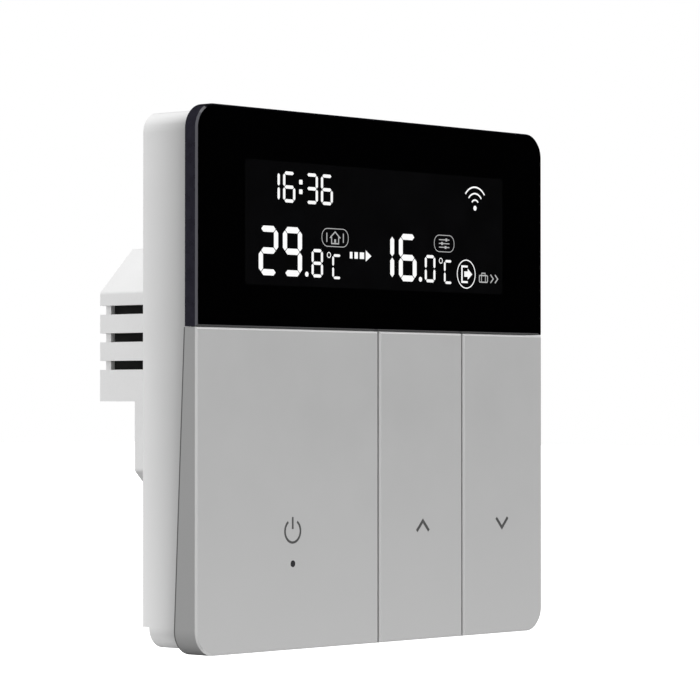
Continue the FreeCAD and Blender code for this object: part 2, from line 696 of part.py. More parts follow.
def flange_spots():
    """The four corners where the rear box's flange is screwed to the wall plate."""
    return both_sides("flange_screw", "flange_screw", "-flange_screw")


def make_rear_box():
    """White eight-sided box in the wall: flange, stepped depth, vents and terminal openings."""
    box = new_body("rear_box")
    extrude_polygon(box, "Pad", ("box_deep", "plate_thick"), octagon("box_half", "box_tall", "box_chamfer"))
    pocket(box, ("box_deep", "box_shallow"),
           (("-box_half - beyond", "box_half + beyond"), ("-box_tall - beyond", "step_up")))
    low = amount("box_tall - box_chamfer - beyond")
    corners = lines_along_y(box.Shape, lambda point: abs(point.z) > low)
    dress(box, "Fillet", "box_round", corners)
    pad(box, ("plate_thick", "flange_front"), upright("flange_half", "flange_half"))
    hollow_box(box)
    cut_side_slits(box)
    drill(box, ("plate_thick", "flange_front"), "screw_radius", *flange_spots())
    ledges = both_sides("ledge_across", "ledge_up")
    side_ledges = both_sides("side_ledge_across", "side_ledge_up")
    pad_circles(box, ("box_deep + box_skin", "power_back"), "ledge_radius", *ledges)
    pad_circles(box, ("box_shallow + box_skin", "power_back"), "ledge_radius", *side_ledges)
    drill(box, ("power_back - pilot_deep", "power_back"), "screw_radius", *ledges, *side_ledges)
    cut_terminal_openings(box)
    group("box_screws", [screw(f"box_screw_{number}", spot, ("0", "flange_front"))
                         for number, spot in enumerate(flange_spots())])


def hollow_box(box):
    """The box's inside: the full outline down to the shallow part's rear wall, then the deep part."""
    half, tall = "(box_half - box_skin)", "(box_tall - box_skin)"
    cut = "(box_chamfer - box_skin * corner_share)"
    across, up = f"({half} - {cut})", f"({tall} - {cut})"
    middle = "box_shallow + box_skin"
    extrude_polygon(box, "Pocket", (middle, "flange_front"), octagon(half, tall, cut))
    deep = [(f"-{half}", "step_up + box_skin"), (half, "step_up + box_skin"), (half, up),
            (across, tall), (f"-{across}", tall), (f"-{half}", up)]
    extrude_polygon(box, "Pocket", ("box_deep + box_skin", middle), deep)


def cut_side_slits(box):
    """Three long slits in each side wall of the deep part."""
    for step in (-1, 0, 1):
        middle = f"(slit_up + {step} * slit_pitch)"
        up = (f"{middle} - slit_half", f"{middle} + slit_half")
        pocket(box, ("box_deep - beyond", "slit_front"),
               (("box_half - slit_wrap", "box_half + beyond"), up),
               (("-box_half - beyond", "-box_half + slit_wrap"), up))


def ledge_spots():
    """The four places where the power board is screwed down."""
    return both_sides("ledge_across", "ledge_up") + both_sides("side_ledge_across", "side_ledge_up")


def pole_middles():
    """The centre lines of the poles of the terminal block."""
    return [f"({pole} - (pole_count - 1) / 2) * pole_pitch" for pole in range(int(amount("pole_count")))]


def cut_terminal_openings(box):
    """Round screwdriver holes in the rear wall and wire entries in the lower wall."""
    drill(box, ("box_shallow", "box_shallow + box_skin"), "tool_radius",
          *[(middle, "tool_up") for middle in pole_middles()])
    pocket(box, ("wire_back", "wire_front"),
           *[((f"{middle} - wire_half", f"{middle} + wire_half"),
              ("-box_tall - beyond", "-box_tall + box_skin + clamp_play")) for middle in pole_middles()])


def make_box_cover():
    """Flat cover over the mouth of the rear box, with a slot for the socket."""
    cover = new_body("box_cover")
    out = ("flange_front", "cover_front")
    half, tall = "(header_base_half + socket_room)", "(header_base_tall + socket_room)"
    extrude_polygon(cover, "Pad", out, octagon("cover_half", "cover_half", "cover_chamfer"))
    pocket(cover, out, ((f"-{half}", half), (f"header_base_up - {tall}", f"header_base_up + {tall}")))


# ---------------------------------------------------------------- power board

def make_power_board():
    """Mains circuit board inside the rear box, on four screws."""
    board = new_body("power_board")
    out = ("power_back", "power_front")
    extrude_polygon(board, "Pad", out, octagon("power_half", "power_half", "power_chamfer"))
    drill(board, out, "screw_radius", *ledge_spots())
    group("power_board_screws", [screw(f"power_screw_{number}", spot,
                                       ("power_back - pilot_deep", "power_front"))
                                 for number, spot in enumerate(ledge_spots())])


def make_socket():
    """Twelve-way socket that the pins of the control board plug into."""
    case = centred("socket_case", "header_base_across", "header_base_up", "header_base_half",
                   "header_base_tall", ("power_front", "socket_front"))
    half = "(pin_half + socket_play)"
    wells = [centred(f"socket_well_{number}", *spot, half, half, ("pin_back - socket_deep", "socket_front"))
             for number, spot in enumerate(pin_spots())]
    keep(without("socket_header", case, wells))


def make_terminals():
    """Six-pole terminal block with its clamps and screws, which face the rear of the box."""
    edge = "(pole_count * pole_pitch / 2)"
    case = block("terminal_case", (f"-{edge}", edge), ("block_low", "block_high"),
                 ("block_back", "power_back"))
    room = "(clamp_half + clamp_play)"
    spaces = []
    clamps = []
    screws = []
    for pole, middle in enumerate(pole_middles()):
        spaces.append(block(f"pole_room_{pole}", (f"{middle} - {room}", f"{middle} + {room}"),
                            ("block_low - clamp_play", "block_high - block_roof"),
                            ("clamp_back - clamp_play", "clamp_front + clamp_play")))
        spaces.append(rod(f"pole_hole_{pole}", middle, "tool_up", "tool_radius",
                          ("block_back", "clamp_back")))
        clamps.append(make_clamp(pole, middle))
        screws.append(screw(f"terminal_screw_{pole}", (middle, "tool_up"),
                            ("clamp_back", "clamp_back + pole_shank"), "pole_screw_radius",
                            "tool_radius - clamp_play", "pole_head", facing_room=False))
    keep(without("terminal_block", case, spaces))
    group("terminal_clamps", clamps)
    group("terminal_screws", screws)


def make_clamp(pole, middle):
    """One brass cage, open to the wire below and bored for its screw."""
    cage = block(f"cage_{pole}", (f"{middle} - clamp_half", f"{middle} + clamp_half"),
                 ("block_low + clamp_low", "block_high - block_roof - clamp_play"),
                 ("clamp_back", "clamp_front"))
    room = "(clamp_half - clamp_skin)"
    mouth = block(f"cage_mouth_{pole}", (f"{middle} - {room}", f"{middle} + {room}"),
                  ("block_low", "block_high"), ("clamp_back + clamp_head", "clamp_front - clamp_skin"))
    bore = rod(f"cage_bore_{pole}", middle, "tool_up", "pole_screw_radius",
               ("clamp_back", "clamp_back + clamp_head + clamp_play"))
    return without(f"clamp_{pole}", cage, [mouth, bore])


def make_power_parts():
    """The transformer, relay and mains parts on the rear of the power board."""
    keep(standing("transformer_bobbin", "power_back"))
    front = "power_back - transformer_bobbin_high - core_gap"
    core = standing("transformer_core", front)
    core.Label = "core_blank"
    middle = ("transformer_core_across", "transformer_core_up")
    window = (f"{front} - transformer_core_high + core_yoke", f"{front} - core_yoke")
    half = "transformer_core_half - core_yoke"
    hollow = centred("core_hollow", *middle, half, "transformer_core_tall + core_gap", window)
    hollowed = keep(without("hollow_core", core, [hollow]))
    hollowed.Label = "transformer_core"
    keep(centred("transformer_winding", *middle, f"({half} - core_gap)",
                 "(transformer_core_tall - beyond)",
                 (window[0] + " + core_gap", window[1] + " - core_gap")))
    for part in ("relay", "suppression_capacitor", "varistor", "bridge_rectifier"):
        keep(standing(part, "power_back"))
    for part in ("bulk_capacitor", "fuse"):
        keep(standing_round(part, "power_back"))


# ---------------------------------------------------------------- build, check and write

make_window_lens()
for name in KEYS:
    make_key(name)
make_indicator_pipe()
make_front_shell()
make_display()
make_display_pins()
make_control_board()
make_control_parts()
make_switches()
make_mounting_plate()
make_rear_box()
make_box_cover()
make_power_board()
make_socket()
make_terminals()
make_power_parts()
doc.recompute()

for item in doc.Objects:
    if "Invalid" in item.State or "Error" in item.State:
        raise ValueError(f"{item.Label} did not compute: {item.State}")
for piece in finished:
    if piece.Shape.isNull() or not piece.Shape.isValid():
        raise ValueError(f"{piece.Label} has no valid shape")

os.makedirs("parts", exist_ok=True)
for piece in finished:
    piece.Shape.exportStep(f"parts/{piece.Label}.step")
    print(piece.Label, len(piece.Shape.Solids), round(piece.Shape.Volume, 2))
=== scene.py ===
import json
import math

import bmesh
import bpy
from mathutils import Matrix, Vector


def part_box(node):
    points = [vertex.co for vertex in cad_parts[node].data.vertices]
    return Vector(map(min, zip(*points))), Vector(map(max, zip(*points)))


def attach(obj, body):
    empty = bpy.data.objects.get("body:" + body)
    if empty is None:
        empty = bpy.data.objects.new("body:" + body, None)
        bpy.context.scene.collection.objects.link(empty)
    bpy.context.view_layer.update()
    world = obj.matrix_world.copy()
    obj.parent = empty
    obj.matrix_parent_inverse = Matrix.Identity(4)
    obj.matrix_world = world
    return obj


# Looks of a wall thermostat: black window with a lit segment display over three grey push keys,
# a white case and the white eight-sided box that goes into the wall.  The face looks along -Y.

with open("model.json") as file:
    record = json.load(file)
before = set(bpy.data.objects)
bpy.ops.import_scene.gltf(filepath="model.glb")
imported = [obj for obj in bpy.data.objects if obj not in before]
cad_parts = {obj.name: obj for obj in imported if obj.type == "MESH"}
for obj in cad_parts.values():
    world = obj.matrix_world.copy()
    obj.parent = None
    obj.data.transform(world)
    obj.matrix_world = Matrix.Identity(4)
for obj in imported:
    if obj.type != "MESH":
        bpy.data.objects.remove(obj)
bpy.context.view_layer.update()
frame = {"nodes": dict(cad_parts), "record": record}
scene = bpy.context.scene

MM = 0.001
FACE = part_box("window_lens")[0].y / MM          # the plane of the face, in millimetres along Y
PRINT = 0.02                                    # thickness of printed and lit shapes, in millimetres
LABEL = 0.04                                    # thickness of the label film, in millimetres
POLES = 6                                       # wires that the terminal block takes


def tone(level):
    """The linear value of a screen grey from 0 to 255."""
    share = level / 255
    return share / 12.92 if share < 0.04045 else ((share + 0.055) / 1.055) ** 2.4


def grey(level, warmth=0.0):
    """A linear colour close to a screen grey; warmth tips it from blue towards yellow."""
    value = tone(level)
    return value * (1 + warmth), value, value * (1 - warmth), 1.0


# ---------------------------------------------------------------- materials

class Recipe:
    """One procedural material being put together, all its textures in the part's own space."""

    def __init__(self, name, **constants):
        self.material = bpy.data.materials.new(name)
        self.material.use_nodes = True
        self.tree = self.material.node_tree
        self.shader = self.tree.nodes["Principled BSDF"]
        self.place = self.add("ShaderNodeTexCoord").outputs["Object"]
        for socket, value in constants.items():
            self.shader.inputs[socket.replace("_", " ")].default_value = value

    def add(self, kind, **settings):
        """A new node with these settings."""
        node = self.tree.nodes.new(kind)
        for key, value in settings.items():
            setattr(node, key, value)
        return node

    def wire(self, source, target):
        """Join an output to an input."""
        self.tree.links.new(source, target)

    def noise(self, size_mm, detail=2.0, stretch=(1, 1, 1)):
        """Cloudy noise with features of about this size; stretch draws them out along an axis."""
        mapping = self.add("ShaderNodeMapping")
        mapping.inputs["Scale"].default_value = [1 / share for share in stretch]
        texture = self.add("ShaderNodeTexNoise")
        texture.inputs["Scale"].default_value = 1 / (size_mm * MM)
        texture.inputs["Detail"].default_value = detail
        self.wire(self.place, mapping.inputs["Vector"])
        self.wire(mapping.outputs["Vector"], texture.inputs["Vector"])
        return texture.outputs["Fac"]

    def cells(self, size_mm):
        """Crystal-like cells of about this size, each with a colour of its own."""
        texture = self.add("ShaderNodeTexVoronoi")
        texture.inputs["Scale"].default_value = 1 / (size_mm * MM)
        self.wire(self.place, texture.inputs["Vector"])
        return texture.outputs["Color"]

    def along(self, direction):
        """The distance along a direction, in metres from the origin."""
        node = self.add("ShaderNodeVectorMath", operation="DOT_PRODUCT")
        node.inputs[1].default_value = direction
        self.wire(self.place, node.inputs[0])
        return node.outputs["Value"]

    def spread(self, source, low, high, start=0.3, end=0.7):
        """Map a texture's usual range onto low to high."""
        node = self.add("ShaderNodeMapRange")
        node.inputs["From Min"].default_value = start
        node.inputs["From Max"].default_value = end
        node.inputs["To Min"].default_value = low
        node.inputs["To Max"].default_value = high
        self.wire(source, node.inputs["Value"])
        return node.outputs["Result"]

    def facing(self, axis, start, end):
        """0 to 1 as a face turns towards an axis, from the start to the end of the normal's share."""
        normal = self.add("ShaderNodeTexCoord").outputs["Normal"]
        parts = self.add("ShaderNodeSeparateXYZ")
        self.wire(normal, parts.inputs["Vector"])
        size = self.add("ShaderNodeMath", operation="ABSOLUTE")
        self.wire(parts.outputs[axis], size.inputs[0])
        return self.spread(size.outputs["Value"], 0, 1, start, end)

    def mix(self, factor, first, second):
        """A colour between two, which may be colours or sockets."""
        node = self.add("ShaderNodeMix", data_type="RGBA")
        self.wire(factor, node.inputs["Factor"])
        for name, colour in (("A", first), ("B", second)):
            socket = next(item for item in node.inputs if item.name == name and item.type == "RGBA")
            if isinstance(colour, bpy.types.NodeSocket):
                self.wire(colour, socket)
            else:
                socket.default_value = colour
        return next(item for item in node.outputs if item.type == "RGBA")

    def colour(self, source):
        """Use a socket as the base colour."""
        self.wire(source, self.shader.inputs["Base Color"])

    def roughness(self, source):
        """Use a socket as the roughness."""
        self.wire(source, self.shader.inputs["Roughness"])

    def bump(self, source, depth_mm, strength=1.0):
        """Raise the surface by a texture; calls after the first add to it."""
        node = self.add("ShaderNodeBump")
        node.inputs["Strength"].default_value = strength
        node.inputs["Distance"].default_value = depth_mm * MM
        self.wire(source, node.inputs["Height"])
        if self.shader.inputs["Normal"].is_linked:
            before = self.shader.inputs["Normal"].links[0].from_socket
            self.wire(before, node.inputs["Normal"])
        self.wire(node.outputs["Normal"], self.shader.inputs["Normal"])


def moulded(name, level, rough, warmth=0.0, grain_mm=0.12, grain_depth=0.004, uneven=3):
    """Injection-moulded plastic: a fine spark-eroded grain over a faint unevenness."""
    recipe = Recipe(name)
    cloud = recipe.noise(9, 3)
    speck = recipe.noise(grain_mm * 2.5, 2)
    base = recipe.mix(recipe.spread(cloud, 0, 1), grey(level - uneven, warmth), grey(level + uneven, warmth))
    recipe.colour(recipe.mix(recipe.spread(speck, 0, 0.35), base, grey(level - 3 * uneven, warmth)))
    recipe.roughness(recipe.spread(recipe.noise(2.5, 4), rough - 0.05, rough + 0.07))
    recipe.bump(recipe.noise(grain_mm, 2), grain_depth, 0.5)
    recipe.bump(recipe.noise(14, 1), 0.03, 0.25)
    return recipe.material


def key_plastic():
    """Satin grey key plastic with painted light: a painted lighter lower front, painted shade on its sides,
    painted highlights on its bevels and a painted shadow line along its rear rim.
    """
    recipe = Recipe("grey_plastic")
    low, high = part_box("up_key")
    rim_low, rim_top, painted_shadow_width = 0.008, 0.0103, 0.0003
    key_painted_light_from = -0.005
    height = recipe.along((0, 0, 1))
    base = recipe.mix(recipe.spread(recipe.noise(9, 3), 0, 1), grey(167), grey(170))
    # painted light: the front turns lighter towards the bottom
    front = recipe.mix(recipe.spread(height, 0, 1, key_painted_light_from, low.z), base, grey(177))
    # painted shade: the sides are darker than the front, and faces that look up or down darker still
    side = recipe.mix(recipe.facing("X", 0.2, 0.8), grey(136), grey(153))
    lean = (rim_top - rim_low) / (high.z - low.z)
    rim = rim_low - lean * low.z
    out = recipe.along((0, -1, -lean))
    # painted shadow: a dark line along the rear rim of each key's sides
    side = recipe.mix(recipe.spread(out, 0, 1, rim + painted_shadow_width / 2, rim + painted_shadow_width), grey(82), side)
    # painted highlight: the bevels are lighter, most of all those that look up or down
    bevel = recipe.mix(recipe.facing("Z", 0.5, 0.65), grey(178), grey(212))
    edge = recipe.mix(recipe.facing("Y", 0.5, 0.65), side, bevel)
    recipe.colour(recipe.mix(recipe.facing("Y", 0.8, 0.95), edge, front))
    recipe.roughness(recipe.spread(recipe.noise(2.5, 4), 0.33, 0.45))
    recipe.bump(recipe.noise(0.09, 2), 0.003, 0.5)
    recipe.bump(recipe.noise(14, 1), 0.03, 0.25)
    return recipe.material


def white_plastic():
    """White case plastic with painted light and shade: painted shade turns all but the up and down faces
    grey towards the front, and painted light makes low parts paler.
    """
    recipe = Recipe("white_plastic")
    cloud = recipe.noise(9, 3)
    speck = recipe.noise(0.3, 2)
    base = recipe.mix(recipe.spread(cloud, 0, 1), grey(240), grey(245))
    base = recipe.mix(recipe.spread(speck, 0, 0.3), base, grey(235))
    painted_shade_from, painted_shade_full = -0.004, 0.0105
    painted_light_from, painted_light_full = 0.005, 0.042
    # painted shade: faces other than those that look up or down turn grey towards the front
    front = recipe.spread(recipe.along((0, -1, 0)), 0, 1, painted_shade_from, painted_shade_full)
    # painted light: the lower parts are paler
    low = recipe.spread(recipe.along((0, 0, -1)), 0, 1, painted_light_from, painted_light_full)
    painted_light_tone = recipe.mix(low, base, grey(251))
    side = recipe.mix(front, painted_light_tone, recipe.mix(low, grey(171), grey(180)))
    recipe.colour(recipe.mix(recipe.facing("Z", 0.3, 0.9), side, painted_light_tone))
    recipe.roughness(recipe.spread(recipe.noise(2.5, 4), 0.37, 0.49))
    recipe.bump(recipe.noise(0.12, 2), 0.004, 0.5)
    recipe.bump(recipe.noise(14, 1), 0.03, 0.25)
    return recipe.material


def metal(name, colour, rough, size_mm=0.5, stretch=(1, 1, 1), depth=0.003):
    """Plated or drawn metal: fine marks in one direction and a patchy sheen."""
    recipe = Recipe(name, Metallic=1.0)
    marks = recipe.noise(size_mm, 4, stretch)
    dark = [share * 0.72 for share in colour[:3]] + [1.0]
    recipe.colour(recipe.mix(recipe.spread(marks, 0, 1), dark, colour))
    recipe.roughness(recipe.spread(recipe.noise(size_mm * 4, 3), rough - 0.08, rough + 0.12))
    recipe.bump(marks, depth, 0.5)
    return recipe.material


def galvanised():
    """Zinc-coated sheet: crystals of slightly different greys with a dull sheen."""
    recipe = Recipe("galvanised_sheet", Metallic=0.5)
    shade = recipe.add("ShaderNodeSeparateColor")
    recipe.wire(recipe.cells(2.2), shade.inputs["Color"])
    recipe.colour(recipe.mix(shade.outputs["Red"], grey(180), grey(208)))
    recipe.roughness(recipe.spread(shade.outputs["Green"], 0.32, 0.5, 0, 1))
    recipe.bump(recipe.noise(0.4, 4), 0.006, 0.4)
    return recipe.material


def tracks(recipe, turn, run_mm, pitch_mm):
    """1 on straight tracks that run one way across the board, with a joint every run."""
    mapping = recipe.add("ShaderNodeMapping")
    mapping.inputs["Rotation"].default_value = (math.radians(90), 0, math.radians(turn))
    bricks = recipe.add("ShaderNodeTexBrick", offset_frequency=3, squash=0.55, squash_frequency=4)
    bricks.inputs["Scale"].default_value = 1 / MM
    bricks.inputs["Mortar Size"].default_value = pitch_mm * 0.11
    bricks.inputs["Brick Width"].default_value = run_mm
    bricks.inputs["Row Height"].default_value = pitch_mm
    recipe.wire(recipe.place, mapping.inputs["Vector"])
    recipe.wire(mapping.outputs["Vector"], bricks.inputs["Vector"])
    return bricks.outputs["Fac"]


def circuit_laminate():
    """Green solder mask; level tracks in some areas and upright ones in others show as lighter lines."""
    recipe = Recipe("circuit_laminate", Coat_Weight=0.4, Coat_Roughness=0.12)
    area = recipe.spread(recipe.noise(13, 0), 0, 1, 0.49, 0.51)
    mask, copper = (0.004, 0.06, 0.022, 1), (0.014, 0.15, 0.05, 1)
    level = recipe.mix(tracks(recipe, 0, 9, 0.9), mask, copper)
    upright = recipe.mix(tracks(recipe, 90, 7, 1.1), mask, copper)
    recipe.colour(recipe.mix(area, level, upright))
    recipe.roughness(recipe.spread(recipe.noise(0.6, 3), 0.32, 0.45))
    recipe.bump(recipe.noise(0.5, 2), 0.004, 0.5)
    return recipe.material


def glossy_resin(name, colour, rough=0.18, size_mm=1.5):
    """Dipped or shrunk coating, smooth with soft waves."""
    recipe = Recipe(name, Coat_Weight=0.3, Coat_Roughness=0.08)
    wave = recipe.noise(size_mm, 3)
    deep = [share * 0.75 for share in colour[:3]] + [1.0]
    recipe.colour(recipe.mix(recipe.spread(wave, 0, 1), deep, colour))
    recipe.roughness(recipe.spread(recipe.noise(size_mm * 2, 3), rough - 0.05, rough + 0.1))
    recipe.bump(wave, 0.02, 0.35)
    return recipe.material


def clear_resin(name, tint, rough=0.08, through=0.9):
    """Clear moulded plastic or glass with a trace of flow marks."""
    recipe = Recipe(name, Transmission_Weight=through, IOR=1.49)
    flow = recipe.noise(3, 3)
    deep = [share * 0.9 for share in tint[:3]] + [1.0]
    recipe.colour(recipe.mix(recipe.spread(flow, 0, 1), deep, tint))
    recipe.roughness(recipe.spread(recipe.noise(1.2, 2), rough - 0.04, rough + 0.06))
    recipe.bump(flow, 0.004, 0.3)
    return recipe.material


def black_acrylic():
    """Black-backed acrylic: deep black through the face, smoky edges with a painted reflection in them and
    painted highlights on the bevels at the sides.
    """
    recipe = Recipe("black_acrylic", IOR=1.49, Coat_Weight=0.25, Coat_Roughness=0.03)
    deep_black = (0.0004, 0.0004, 0.0005, 1)
    # the edge colour is the acrylic's smoky tone with a painted reflection in it
    smoke, pale_smoke = (0.017, 0.016, 0.023, 1), (0.024, 0.023, 0.032, 1)
    dark_bevel, painted_glint_bevel = (0.003, 0.003, 0.004, 1), (0.085, 0.085, 0.095, 1)
    edge = recipe.mix(recipe.spread(recipe.noise(1.8, 3), 0, 1), smoke, pale_smoke)
    # painted highlight: bevels that look sideways are pale, the others dark
    bevel = recipe.mix(recipe.facing("X", 0.3, 0.6), dark_bevel, painted_glint_bevel)
    bevelled = recipe.mix(recipe.facing("Y", 0.3, 0.5), edge, bevel)
    recipe.colour(recipe.mix(recipe.facing("Y", 0.85, 0.95), bevelled, deep_black))
    recipe.roughness(recipe.spread(recipe.noise(6, 4), 0.03, 0.09))
    recipe.bump(recipe.noise(18, 1), 0.01, 0.15)
    return recipe.material


def display_panel():
    """Dark polariser seen through the window, a shade lighter than the black print round it."""
    recipe = Recipe("display_panel", IOR=1.49)
    dark, light = (0.0019, 0.0019, 0.0021, 1), (0.0026, 0.0026, 0.0029, 1)
    recipe.colour(recipe.mix(recipe.spread(recipe.noise(5, 2), 0, 1), dark, light))
    recipe.roughness(recipe.spread(recipe.noise(6, 4), 0.03, 0.09))
    return recipe.material


def lit_segment(name, level):
    """Backlit display segment: even white light with a trace of the diffuser's mottle."""
    recipe = Recipe(name, Emission_Strength=1.0, Roughness=0.4)
    recipe.colour(recipe.mix(recipe.noise(0.5, 2), grey(8), grey(12)))
    low, high = tone(level) * 0.94, tone(level) * 1.04
    glow = recipe.mix(recipe.spread(recipe.noise(1.2, 2), 0, 1), (low, low, low, 1), (high, high, high, 1))
    recipe.wire(glow, recipe.shader.inputs["Emission Color"])
    return recipe.material


def printed_ink(name, level):
    """Pad-printed ink, slightly broken by the plastic's grain."""
    recipe = Recipe(name)
    recipe.colour(recipe.mix(recipe.spread(recipe.noise(0.2, 3), 0, 1), grey(level - 8), grey(level + 8)))
    recipe.roughness(recipe.spread(recipe.noise(0.4, 3), 0.4, 0.6))
    recipe.bump(recipe.noise(0.12, 2), 0.004, 0.5)
    return recipe.material


def label_paper():
    """Matt silver-grey label film."""
    recipe = Recipe("label_paper", Metallic=0.35)
    recipe.colour(recipe.mix(recipe.spread(recipe.noise(5, 3), 0, 1), grey(206), grey(214)))
    recipe.roughness(recipe.spread(recipe.noise(1.5, 3), 0.38, 0.5))
    recipe.bump(recipe.noise(6, 2), 0.01, 0.4)
    return recipe.material


def wound_tape():
    """Yellow polyester tape wound round the transformer, with its overlaps."""
    recipe = Recipe("winding_tape", Coat_Weight=0.5, Coat_Roughness=0.1)
    band = recipe.noise(1.4, 1, (30, 1, 30))
    recipe.colour(recipe.mix(recipe.spread(band, 0, 1), (0.5, 0.3, 0.012, 1), (0.78, 0.52, 0.03, 1)))
    recipe.roughness(recipe.spread(recipe.noise(0.8, 3), 0.2, 0.34))
    recipe.bump(band, 0.05, 0.5)
    return recipe.material


def make_finishes():
    """One material for each of the record's slots."""
    steel = (0.62, 0.62, 0.6, 1)
    return {
        "white_plastic": white_plastic(),
        "black_acrylic": black_acrylic(),
        "grey_plastic": key_plastic(),
        "clear_plastic": clear_resin("clear_plastic", (0.05, 0.05, 0.055, 1), 0.15, 0.35),
        "diffuser_film": moulded("diffuser_film", 236, 0.6, 0.0, 0.05, 0.002, 2),
        "lcd_glass": clear_resin("lcd_glass", (0.62, 0.68, 0.66, 1), 0.06),
        "polariser_film": glossy_resin("polariser_film", (0.012, 0.012, 0.016, 1), 0.1, 6),
        "led_resin": glossy_resin("led_resin", (0.75, 0.62, 0.2, 1), 0.2, 0.5),
        "circuit_board": circuit_laminate(),
        "chip_resin": moulded("chip_resin", 42, 0.55, 0.0, 0.06, 0.004, 3),
        "tinned_metal": metal("tinned_metal", (0.7, 0.7, 0.68, 1), 0.3, 0.3),
        "gold_pin": metal("gold_pin", (0.83, 0.58, 0.22, 1), 0.24, 0.2),
        "black_plastic": moulded("black_plastic", 7, 0.6, 0.0, 0.1, 0.004, 2),
        "plunger_plastic": moulded("plunger_plastic", 120, 0.4, 0.0, 0.1, 0.003, 3),
        "screw_steel": metal("screw_steel", steel, 0.26, 0.25, (1, 6, 1)),
        "plate_steel": galvanised(),
        "terminal_plastic": moulded("terminal_plastic", 60, 0.4, -0.35, 0.1, 0.004, 3),
        "brass": metal("brass", (0.78, 0.56, 0.26, 1), 0.28, 0.3),
        "ferrite": moulded("ferrite", 58, 0.62, 0.0, 0.2, 0.02, 6),
        "winding_tape": wound_tape(),
        "bobbin_plastic": moulded("bobbin_plastic", 38, 0.4, 0.0, 0.1, 0.004, 3),
        "capacitor_sleeve": glossy_resin("capacitor_sleeve", (0.02, 0.022, 0.05, 1)),
        "film_capacitor_case": moulded("film_capacitor_case", 176, 0.45, 0.55, 0.12, 0.006, 5),
        "varistor_coat": glossy_resin("varistor_coat", (0.02, 0.07, 0.32, 1), 0.2, 0.8),
        "fuse_case": moulded("fuse_case", 66, 0.4, 0.1, 0.1, 0.004, 4),
        "rectifier_resin": moulded("rectifier_resin", 36, 0.55, 0.0, 0.06, 0.004, 3),
        "sensor_bead": glossy_resin("sensor_bead", (0.03, 0.03, 0.032, 1), 0.2, 0.4),
    }


def finish_nodes(finishes):
    """Give every CAD node the material of its slot."""
    for entry in frame["record"]["subparts"]:
        for slot in frame["nodes"][entry["node"]].material_slots:
            slot.material = finishes[entry["material_slot"]]


# ---------------------------------------------------------------- flat shapes on the face

def arc(across, up, radius, start, end, steps=16):
    """Points along an arc, its angles in degrees from the right, turning anticlockwise."""
    angles = [math.radians(start + (end - start) * step / steps) for step in range(steps + 1)]
    return [(across + radius * math.cos(a), up + radius * math.sin(a)) for a in angles]


def rounded(left, right, low, high, radius):
    """The outline of a rectangle with round corners."""
    corners = ((right, high, 0), (left, high, 90), (left, low, 180), (right, low, 270))
    outline = []
    for across, up, turn in corners:
        inward = 1 if across == left else -1
        upward = 1 if up == low else -1
        outline += arc(across + inward * radius, up + upward * radius, radius, turn, turn + 90, 8)
    return outline


class Shapes:
    """Flat shapes in millimetres across and up the face, made into one thin solid piece."""

    def __init__(self):
        self.mesh = bmesh.new()

    def walls(self, top, bottom):
        """The sides between two layers of one outline."""
        count = len(top)
        for index in range(count):
            following = (index + 1) % count
            self.mesh.faces.new((top[index], top[following], bottom[following], bottom[index]))

    def layer(self, outline, level):
        """An outline's vertices at one level."""
        return [self.mesh.verts.new((across, level, up)) for across, up in outline]

    def polygon(self, outline):
        """A filled shape; level 0 is its back and 1 its front until the piece is made."""
        back, front = self.layer(outline, 0), self.layer(outline, 1)
        self.mesh.faces.new(back)
        self.mesh.faces.new(front[::-1])
        self.walls(back, front)
        return self

    def ring(self, outer, inner):
        """The band between two outlines with the same number of points."""
        levels = [(self.layer(outer, level), self.layer(inner, level)) for level in (0, 1)]
        count = len(outer)
        for outside, inside in levels:
            for index in range(count):
                following = (index + 1) % count
                self.mesh.faces.new((outside[index], outside[following], inside[following], inside[index]))
        for back, front in zip(*levels):
            self.walls(back, front)
        return self

    def box(self, left, right, low, high):
        """An upright rectangle."""
        return self.polygon([(left, low), (right, low), (right, high), (left, high)])

    def dot(self, across, up, radius):
        """A filled circle."""
        return self.polygon(arc(across, up, radius, 0, 345, 23))

    def circle(self, across, up, radius, width):
        """A round line of even width."""
        outline = [arc(across, up, size, 0, 354, 59) for size in (radius, radius - width)]
        return self.ring(*outline)

    def pill(self, left, right, low, high, radius, width):
        """A rounded frame of even width."""
        return self.ring(rounded(left, right, low, high, radius),
                         rounded(left + width, right - width, low + width, high - width, radius - width))

    def stroke(self, path, width):
        """A line of even width through the points, with mitred corners and square ends."""
        sides = ([], [])
        sharpest = 0.3
        for index, point in enumerate(path):
            here = Vector(point)
            before = (here - Vector(path[index - 1])).normalized() if index else None
            after = (Vector(path[index + 1]) - here).normalized() if index < len(path) - 1 else None
            along = ((before or after) + (after or before)).normalized()
            normal = Vector((-along.y, along.x))
            reach = width / 2 / max(sharpest, along.dot(after or before))
            sides[0].append(tuple(here + normal * reach))
            sides[1].append(tuple(here - normal * reach))
        return self.polygon(sides[0] + sides[1][::-1])

    def piece(self, name, body, material, plane=FACE, thick=PRINT, way=-1):
        """Make the piece on a plane across Y; way is -1 for one seen from the room, 1 from behind."""
        for vertex in self.mesh.verts:
            across, level, up = vertex.co
            vertex.co = Vector((-way * across, plane + way * thick * level, up)) * MM
        bmesh.ops.recalc_face_normals(self.mesh, faces=self.mesh.faces)
        add_piece(name, self.mesh, body, material)


def add_piece(name, mesh, body, material):
    """Turn a bmesh into an object that rides on a body."""
    data = bpy.data.meshes.new(name)
    mesh.to_mesh(data)
    mesh.free()
    data.materials.append(material)
    made = bpy.data.objects.new(name, data)
    scene.collection.objects.link(made)
    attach(made, body)


# ---------------------------------------------------------------- the display

SEGMENTS = {
    "0": "abcdef", "1": "bc", "2": "abged", "3": "abgcd", "4": "fgbc", "5": "afgcd",
    "6": "afgedc", "8": "abcdefg", "9": "abcdfg", "C": "afed",
}


